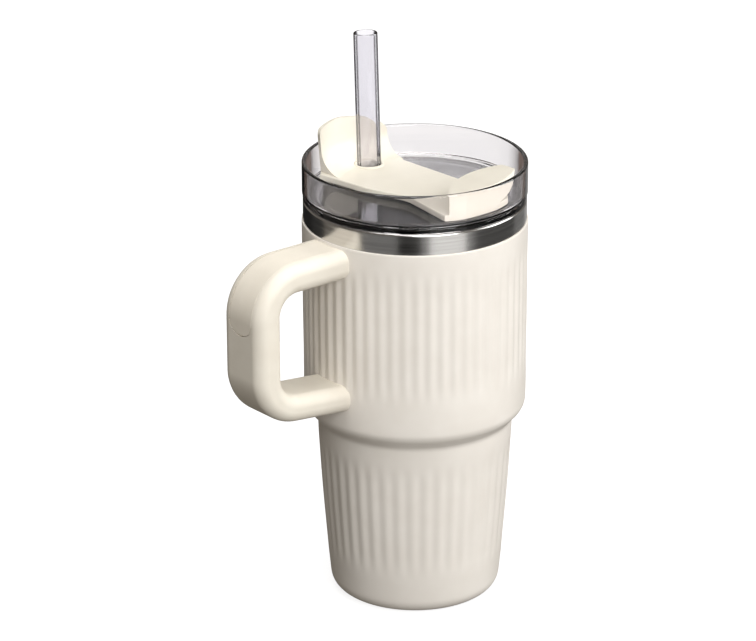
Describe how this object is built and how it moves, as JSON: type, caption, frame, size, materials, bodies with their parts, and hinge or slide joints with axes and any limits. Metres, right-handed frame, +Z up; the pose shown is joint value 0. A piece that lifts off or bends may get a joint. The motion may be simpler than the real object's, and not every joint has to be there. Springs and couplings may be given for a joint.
{
  "type": "insulated tumbler",
  "caption": "Double-walled steel tumbler with a stepped ribbed body, side handle, clear push-in lid, turning cover with a finger tab and splash wall, and a clear straw.",
  "frame": {"origin": "on the cup's axis, in the plane of the base", "axes": "+Z up along the cup's axis; the handle points along -X; the straw stands on the +Y side and the finger tab on the -Y side"},
  "size_m": [0.132, 0.0892, 0.2263],
  "materials": {
    "powder_coat": "matt powder coat with a fine texture",
    "steel": "brushed",
    "handle_plastic": "satin",
    "soft_grip": "matt, soft to the touch",
    "lid_clear": "clear smoke-grey plastic",
    "cover_plastic": "satin",
    "silicone": "translucent silicone",
    "straw_clear": "clear plastic",
    "getter": "pressed powder"
  },
  "bodies": {
    "cup": {"outer_shell": "powder_coat", "rim_band": "steel", "inner_liner": "steel", "base_plate": "steel", "vacuum_seal": "steel", "getter_pellet": "getter", "upper_bracket": "steel", "lower_bracket": "steel", "handle_core": "handle_plastic", "grip_inlay": "soft_grip", "handle_screws": "steel", "screw_plugs": "handle_plastic"},
    "lid": {"lid_body": "lid_clear", "lid_gasket": "silicone"},
    "cover": {"rotating_cover": "cover_plastic", "cover_seal": "silicone", "straw_grommet": "silicone", "pivot_o_ring": "silicone", "pivot_washer": "steel", "pivot_screw": "steel"},
    "straw": {"straw": "straw_clear"}
  },
  "joints": [
    {"name": "lid_lift", "type": "slide", "parent": "cup", "child": "lid", "axis": [0, 0, 1], "range_m": [0, 0.08]},
    {"name": "cover_turn", "type": "hinge", "parent": "lid", "child": "cover", "pos_m": [0, 0, 0.1687], "axis": [0, 0, 1], "range_deg": [-10, 25]},
    {"name": "straw_slide", "type": "slide", "parent": "cover", "child": "straw", "axis": [0, 0.037, 0.9993], "range_m": [0, 0.155]}
  ]
}
